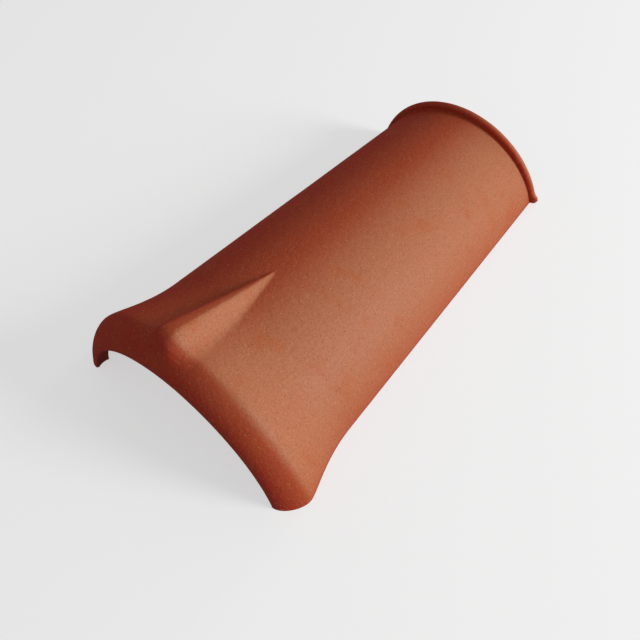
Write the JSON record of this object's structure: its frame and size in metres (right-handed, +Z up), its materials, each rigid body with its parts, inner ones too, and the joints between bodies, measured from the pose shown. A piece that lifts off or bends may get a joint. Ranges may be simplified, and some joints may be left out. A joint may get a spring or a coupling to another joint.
{
  "type": "ridge tile",
  "caption": "Half-round clay ridge tile with a flared socket, a nose on its crown and a raised rim at the other end, for covering and weathering a roof ridge.",
  "frame": {"origin": "centre of the footprint at floor level, with the tile lying on its feet", "axes": "+X across the ridge, +Y along it from the socket to the rim, +Z up through the crown"},
  "size_m": [0.2476, 0.42, 0.1126],
  "materials": {
    "clay": "matt fired terracotta"
  },
  "bodies": {
    "root": {"ridge_tile": "clay"}
  },
  "joints": []
}
